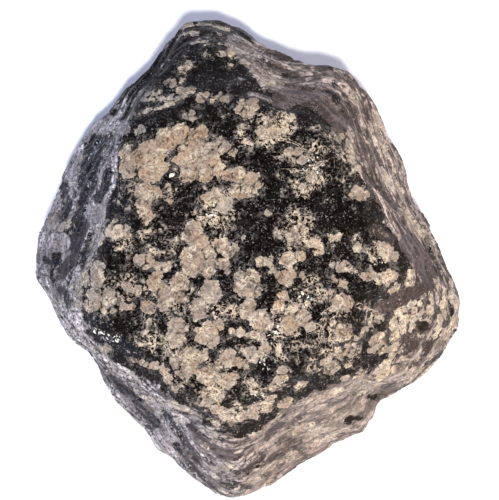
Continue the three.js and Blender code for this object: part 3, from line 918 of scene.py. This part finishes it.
# %% Cover of the flakes
wobble = (speckle(place, 2.6, 2, 0.5) - 0.5) * 3.0
lobes = (speckle(place, 1.2, 2, 0.5, 0.5) - 0.5) * 2.0
rags = (speckle(place, 0.55, 3, 0.75) - 0.5) * 1.4
edge = finish.stored("flake_gap") + wobble + lobes + rags + bare_here * 4 + 0.06
seam = 1 - step(finish.stored("seam_gap") + (speckle(place, 1.1, 3) - 0.5) * 1.6, 0.15, 0.55)
seam_depth = 0.2 + step(speckle(place, 2.4, 3), 0.46, 0.56) * 0.7 + step(edge, -1.3, -0.3) * 0.1
frost_amount = step(speckle(place, 2.8, 3, 0.6) + finish.stored("frost_density") * 0.31, 0.57, 0.87)
eaten = step(speckle(place, 0.9, 3, 0.7), 0.47, 0.56) * frost_amount
flakes_here = step(edge * -1, -0.10, 0.14) * (1 - seam_depth * seam)
flakes_here = flakes_here * (1 - dark_here * 0.6) * (1 - eaten * 0.75)
print("covers take", len(finish.tree.nodes), "nodes so far")

# %% [markdown]
# A flake is a ball of fine radiating crystals, greyer or browner with age. Seen close its face is
# sandy, with a pale rim, a few cracks and dark grains, and a lace of paler threads in patches.

# %% Face of the flakes
GREYED_COLOUR = (0.255, 0.235, 0.220)
COOL_LIT_FLAKE_COLOUR = (0.23, 0.22, 0.225)
WARMED_COLOUR = (0.31, 0.222, 0.150)
BLUSH_COLOUR = (0.44, 0.235, 0.15)
RIM_COLOUR = (0.42, 0.375, 0.33)
CRACK_COLOUR = (0.03, 0.022, 0.018)
GRAIN_COLOUR = (0.05, 0.04, 0.034)
LACE_COLOUR = (0.68, 0.59, 0.45)
greyed = step(speckle(place, 3.3, 3, 0.6), 0.42, 0.60)
blush_room = step(speckle(place, 3.4, 2), 0.54, 0.68) * step(edge * -1, 0.5, 1.4)
# Flakes on the far left steep sides take a painted cool light tint.
face = mixed(cool * 0.6, finish.stored("flake_tint", "Color"), COOL_LIT_FLAKE_COLOUR)
face = mixed(greyed * 0.35, face, GREYED_COLOUR)
face = mixed((1 - greyed) * (0.35 - cool * 0.3), face, WARMED_COLOUR)
face = mixed(blush_room * 0.14, face, BLUSH_COLOUR)
sand = speckle(place, 1.9, 3, 0.6) + speckle(place, 0.7, 3, 0.75, 0.4) * 1.7
sand = sand + speckle(place, 0.45, 1, 0.5) * 1.3
face = brightened(face, larger(sand - 0.98, 0.25))
face = mixed(step(edge, -0.50, -0.05) * 0.5, face, RIM_COLOUR)
cracks = curls(place, 2.0, 0.17, 0.9, 2.0) * step(speckle(place, 2.6, 2), 0.46, 0.56)
face = mixed(cracks * 0.7, face, CRACK_COLOUR)
face = mixed(step(speckle(place, 0.6, 2, 0.6), 0.65, 0.72) * 0.5, face, GRAIN_COLOUR)
lace_room = step(speckle(place, 2.8, 2), 0.47, 0.60)
lace = curls(scaled(place, (1.0, 1.1, 0.9)), 1.3, 0.17, 1.0, 1.0) * lace_room
knots = step(speckle(place, 0.55, 1, 0.5), 0.58, 0.68) * (0.2 + lace_room * 0.5)
flake_face = mixed(larger(lace, knots) * 0.75, face, LACE_COLOUR)

# %% [markdown]
# The frost is a felt of crystal threads in the glass. Modelled threads would be far too many, so
# these are the level lines of several noises, from long and loose to short and tangled. They
# thicken with the stored density and fray the rims of the flakes, but a thin moat of bare glass
# keeps them off most rims. The few long hairs run in pairs along the drawn ones.

# %% Threads of frost
FROST_COLOUR = (0.64, 0.53, 0.41)
ASH_COLOUR = (0.30, 0.285, 0.285)
fringe = step(edge * -1, -1.6, -0.3) * (1 - step(edge * -1, -0.1, 0.3))
fringe = fringe * step(speckle(place, 2.2, 3), 0.40, 0.56)
thick = smaller(frost_amount + fringe * 0.28, 1.0)
middle_threads = curls(scaled(place, (1.1, 0.9, 1.0)), 1.5, 0.19, 0.9, 1.0)
short_threads = curls(scaled(place, (0.9, 1.0, 1.1)), 0.95, 0.17, 0.7, 0.6)
worn = step(speckle(place, 0.7, 2, 0.7), 0.44, 0.56)
tangle = larger(middle_threads, short_threads * 0.8) * worn * (0.02 + thick * 0.75)
loose = larger(curls(place, 6.0, 0.22, 1.6), curls(scaled(place, (1.0, 0.9, 1.1)), 3.4, 0.20, 1.3))
loose = larger(loose, curls(place, 2.3, 0.20, 1.0)) * step(speckle(place, 2.2, 2, 0.6), 0.42, 0.52)
loose = smaller(loose * (0.04 + thick * 1.1), 1.0)
moat = step(edge, 0.0, 0.12) * (1 - step(edge, 0.30, 0.55))
frost_here = larger(tangle, loose) * uncovered * (1 - moat * 0.65)
frost_face = mixed(thick, ASH_COLOUR, FROST_COLOUR)

# %% Long hairs
HAIR_TRACKS = [(0.1, 1.4), (-0.5, 1.9)]
side = finish.stored("hair_side")
hairs = side * 0
for shift, size in HAIR_TRACKS:
    away = abs(side + (speckle(place, size, 2) - 0.5) * 3.0 + shift)
    hairs = larger(hairs, step(away * -1, -0.17, -0.07))
worn = step(speckle(place, 0.9, 3, 0.7), 0.44, 0.54)
hairs_here = hairs * step(abs(side) * -1, -1.4, -0.8) * (0.15 + worn * 0.6)
print("flakes and frost take", len(finish.tree.nodes), "nodes so far")

# %% [markdown]
# The steep sides are weathered. Their crust came off in lens-shaped pieces along the layers, so
# it is drawn in the grain of the sides: fibres and a tone for each piece, then long dark layers,
# folds and lines, and last coarse grains and pores. Every colour comes as a cool one for the far
# left and a warm one for the near right, a painted tint of the cool and the warm light that falls
# there. Where the side is rubbed smooth all of it is calmer.

# %% Cover of the crust
steep_here = step(on_side + (speckle(place, 2.6, 4, 0.65) - 0.5) * 1.5, 0.46, 0.60)
crust_amount = finish.stored("crust_share") * (1 + finish.stored("ridge") * 0.5)
streaks = speckle(grain, 1.9, 3, 0.6) * 0.6 + speckle(place, 5.0, 3, 0.6) * 0.4
rags = (speckle(upright, 1.1, 4, 0.75) - 0.5) * (0.7 - warm * 0.45)
pale = step(streaks + rags + crust_amount * 0.56 - 0.28, 0.45, 0.55)
seams = 1 - step(cells(grain, 3.0, "DISTANCE_TO_EDGE"), 0.01, 0.08)
seam_room = step(speckle(place, 2.2, 3, 0.6), 0.43, 0.57)
crust_here = pale * (1 - seams * seam_room * 0.85) * steep_here * uncovered

# %% Face of the crust
# Each crust colour comes twice, as a painted light tint for the cool-lit left and for the warm-lit right.
seam_colour = by_light_side((0.020, 0.020, 0.027), (0.060, 0.047, 0.045))
shade_colour = by_light_side((0.21, 0.192, 0.20), (0.225, 0.184, 0.168))
crust_colour = by_light_side((0.51, 0.475, 0.475), (0.555, 0.46, 0.403))
LINE_COLOUR = (0.045, 0.034, 0.032)
TORN_LAYERS = [((0.55, 0.55, 1.0), 1.8, 0.65), ((0.5, 0.5, 0.42), 2.2, 0.6)]
fibres = speckle(scaled(grain, (0.5, 0.5, 0.9)), 0.8, 3, 0.7)
tone = speckle(grain, 3.0, 3, 0.6) * 0.35 + fibres * 0.45 + cells(grain, 3.0, "F1", 1) * 0.2
face = mixed(step(tone, 0.38, 0.60), shade_colour, crust_colour)
for stretch, size, rough in TORN_LAYERS:
    torn = step(speckle(scaled(grain, stretch), size, 3, rough), 0.55, 0.59)
    face = mixed(torn * (0.3 + warm * 0.4) * (1 - rubbed * 0.5), face, seam_colour)
calm = 1 - rubbed * 0.4
lines = curls(scaled(grain, (0.4, 0.4, 0.6)), 1.8, 0.22, 0.3, 1.0)
face = mixed(lines * (0.3 + warm * 0.5) * calm, face, LINE_COLOUR)
coarse_room = step(speckle(place, 7.0, 2), 0.42, 0.58)
grains = (speckle(upright, 0.75, 3, 0.8) - 0.5) * calm
face = brightened(face, larger(1 + grains * (3.0 + coarse_room * (3.5 - warm * 2.5)), 0.15))
face = brightened(face, 1 - rubbed * 0.32)
pores = step(speckle(upright, 0.9, 3, 0.75), 0.57, 0.63)
crust_face = mixed(pores * (0.85 - warm * 0.35), face, seam_colour)
print("the crust brings it to", len(finish.tree.nodes), "nodes")

# %% [markdown]
# The glass is black on the crown, where it keeps only dust and fresh chips. A chip is a small
# clean facet that flashes white. Thousands of them can't be cut into the skin, so their flashes are
# painted highlights, pale spots where they gather. On the bare bands the glass carries a painted
# mauve sheen, and round the nose it is brown.

# %% Face of the glass
GLASS = (0.003, 0.002, 0.0016)
BROWN_GLASS = (0.045, 0.032, 0.030)
DUST_COLOUR = (0.24, 0.225, 0.215)
# The haze is partly dulled, weathered glass and partly painted sheen, the grey reflection of the bright
# light round the stone; how much lies on a side goes with its crust share.
haze_and_sheen_colour = by_light_side((0.021, 0.022, 0.029), (0.075, 0.058, 0.055))
# The bare bands get a painted mauve sheen; on the thin band along the right rim the same colour is painted
# shade.
band_sheen_and_shade_colour = by_light_side((0.052, 0.043, 0.047), (0.135, 0.104, 0.099))
dulled = step(speckle(grain, 1.4, 4, 0.65), 0.40, 0.64)
face = mixed(steep_here * dulled * (0.05 + finish.stored("crust_share") * 0.95), GLASS, haze_and_sheen_colour)
face = mixed(bare_here * (0.35 + dulled * 0.65), face, band_sheen_and_shade_colour)
face = mixed(finish.stored("brown_share") * 0.9, face, BROWN_GLASS)
grit = (speckle(upright, 0.8, 4, 0.85) - 0.5) * 4.0 + 1.0
face = brightened(face, larger(grit, 0.2))
sparks = step(speckle(place, 0.42, 1, 0.5), 0.62, 0.70)
dust = step(speckle(place, 3.0, 3, 0.65), 0.48, 0.62)
glass_face = mixed(sparks * (0.25 + dust * 0.5), face, DUST_COLOUR)

# %% Dark streaks, painted chip glints and pits
WARM_DARK = (0.040, 0.031, 0.029)
COOL_GLINT = (0.78, 0.85, 0.95)
WARM_GLINT = (0.88, 0.85, 0.74)
PIT_COLOUR = (0.030, 0.023, 0.021)
streak_grit = step(speckle(upright, 0.8, 4, 0.8), 0.54, 0.66)
dark_face = mixed(streak_grit * 0.8, by_light_side((0.006, 0.0065, 0.010), WARM_DARK), crust_face)
gathered = finish.stored("glint_density")
# Chip glints and gleams are painted highlights.
chip_glints = step(speckle(place, 0.7, 2, 0.6) + gathered * 0.06, 0.65, 0.70) * 0.9
chip_glints = chip_glints * larger(step(speckle(place, 3.5, 3, 0.6), 0.48, 0.62) * 0.35, gathered)
gleams = step(finish.stored("gleam_depth") + (speckle(place, 0.8, 2) - 0.5) * 1.8, 0.0, 0.12)
glints_here = larger(chip_glints, gleams * 0.85) * (1 - flakes_here * 0.6)
pits_here = step(finish.stored("pit_inside") + (speckle(place, 0.9, 2) - 0.5) * 0.2, -0.05, 0.15)
pit_face = brightened(PIT_COLOUR, speckle(place, 1.1, 3) * 3.0 - 0.4)

# %% [markdown]
# ## The layers together
# With every cover and face ready, the layers are laid one over another. The same covers then
# set how rough the skin is, glossy on the glass and dull on the rest, and how high each stands.

# %% Lay the layers and finish the material
LAYERS = [
    (dark_here, dark_face), (crust_here, crust_face), (flakes_here, flake_face),
    # painted shade on the sheer right edge, in WARM_DARK
    (finish.stored("sheer") * 0.75, WARM_DARK), (frost_here * 0.85, frost_face), (hairs_here, FROST_COLOUR),
    (vein_here * 0.85, scaled(crust_face, (1.12, 1.12, 1.12))),
    (glints_here, mixed(cool, WARM_GLINT, COOL_GLINT)), (pits_here, pit_face),
]
colour = glass_face
for here, face in LAYERS:
    colour = mixed(here, colour, face)
roughness = 0.30 + flakes_here * 0.42 + crust_here * 0.3 + steep_here * 0.12 + frost_here * 0.2
knocks = speckle(place, 0.5, 3, 0.65) * (0.04 + flakes_here * 0.10)
rise = knocks + flakes_here * 0.08 + frost_here * 0.05 + crust_here * 0.06
bump = finish.node("ShaderNodeBump", {}, {"Height": rise, "Distance": MM, "Strength": 1.0})
glass = finish.shader.inputs
finish.feed(glass["Base Color"], colour)
finish.feed(glass["Roughness"], roughness)
finish.feed(glass["Normal"], bump)
glass["IOR"].default_value = 1.49
glass["Specular IOR Level"].default_value = 0.09
glass["Specular Tint"].default_value = (1.0, 0.88, 0.80, 1)
stone_mesh.materials.clear()
stone_mesh.materials.append(finish.owner)
print("finish has", len(finish.tree.nodes), "nodes")

# %% [markdown]
# ## Camera
# The lump is seen from straight above through a long lens, so the steep sides show as a narrow
# rim round the crown.

# %% Camera over the stone
LENS = 125.4
SENSOR_WIDTH = 36
camera_data = bpy.data.cameras.new("camera")
camera_data.lens = LENS
camera_data.sensor_width = SENSOR_WIDTH
camera = in_scene("camera", camera_data)
camera.location = SIGHT_POINT * MM
bpy.context.scene.camera = camera
print("camera is", round(camera.location.z, 2), "m up")

# %% [markdown]
# ## Floor and light
# Black glass shows what it mirrors. A tent of soft light low round the stone, left dark
# overhead, keeps the crown black and brings out the grey sheen of the sides. It is cool on the
# left, warm on the right and dimmer at the far side. One small soft lamp above the near side
# gives the forms their shade and the stone its faint shadow on pale paper.

# %% Floor
FLOOR_SIZE = 3.0
PAPER_COLOUR = (0.84, 0.87, 0.97, 1)
floor_mesh = bpy.data.meshes.new("floor")
floor_shape = bmesh.new()
bmesh.ops.create_grid(floor_shape, x_segments=1, y_segments=1, size=FLOOR_SIZE / 2)
floor_shape.to_mesh(floor_mesh)
floor_shape.free()
floor = in_scene("floor", floor_mesh)
paper = Finish(bpy.data.materials.new("floor_paper"))
paper.shader.inputs["Base Color"].default_value = PAPER_COLOUR
paper.shader.inputs["Roughness"].default_value = 0.9
floor_mesh.materials.append(paper.owner)
print("floor is", FLOOR_SIZE, "m wide")

# %% Light tent
COOL = (0.61, 0.79, 1.22, 1)
WARM = (1.62, 1.42, 1.28, 1)
TENT_STRENGTH = 1.7
TENT_STOPS = [
    (0.0, (0.8, 0.8, 0.8)), (0.50, (1, 1, 1)), (0.72, (0.14, 0.14, 0.14)), (1.0, (0.03, 0.03, 0.03)),
]
tent = Finish(bpy.data.worlds.new("tent"), "Background")
bpy.context.scene.world = tent.owner
direction = tent.node("ShaderNodeTexCoord", {}, {}, "Generated")


def towards(heading, ends):
    """How far a direction of the tent turns to a heading, mapped to the values of the ends."""
    product = {"operation": "DOT_PRODUCT"}
    along = tent.node("ShaderNodeVectorMath", product, {0: direction, 1: heading}, "Value")
    return tent.node("ShaderNodeMapRange", {}, {0: along, **ends})


upward = tent.node("ShaderNodeSeparateXYZ", {}, {0: direction}, "Z")
fading = tent.node("ShaderNodeValToRGB", {"stops": TENT_STOPS}, {0: upward})
to_right = towards((0.75, -0.45, 0.0), {1: -0.7, 2: 0.7})
tinted = tent.node("ShaderNodeMix", {"data_type": "RGBA"}, {0: to_right, 6: COOL, 7: WARM}, 2)
multiplied = {"data_type": "RGBA", "blend_type": "MULTIPLY"}
lit = tent.node("ShaderNodeMix", multiplied, {0: 1.0, 6: tinted, 7: fading}, 2)
to_far_side = towards((-0.15, 1.0, 0.0), {1: 0.1, 2: 0.8, 3: 1.0, 4: 0.55})
tent.feed(tent.shader.inputs["Color"], brightened(lit, to_far_side))
tent.shader.inputs["Strength"].default_value = TENT_STRENGTH
print("tent lit")

# %% Lamp
KEY_PLACE = Vector((0.03, -0.205, 1.3))
KEY_TARGET = Vector((0, 0, 0.03))
key_data = bpy.data.lights.new("key_lamp", "AREA")
key_data.shape = "DISK"
key_data.size = 0.06
key_data.energy = 16
key_data.color = (1.0, 0.95, 0.88)
key_lamp = in_scene("key_lamp", key_data)
key_lamp.location = KEY_PLACE
key_lamp.rotation_euler = (KEY_TARGET - KEY_PLACE).to_track_quat("-Z", "Y").to_euler()
key_lamp.visible_glossy = False
bpy.context.scene.view_settings.view_transform = "Standard"
print("lamp is", round(KEY_PLACE.z, 2), "m up")
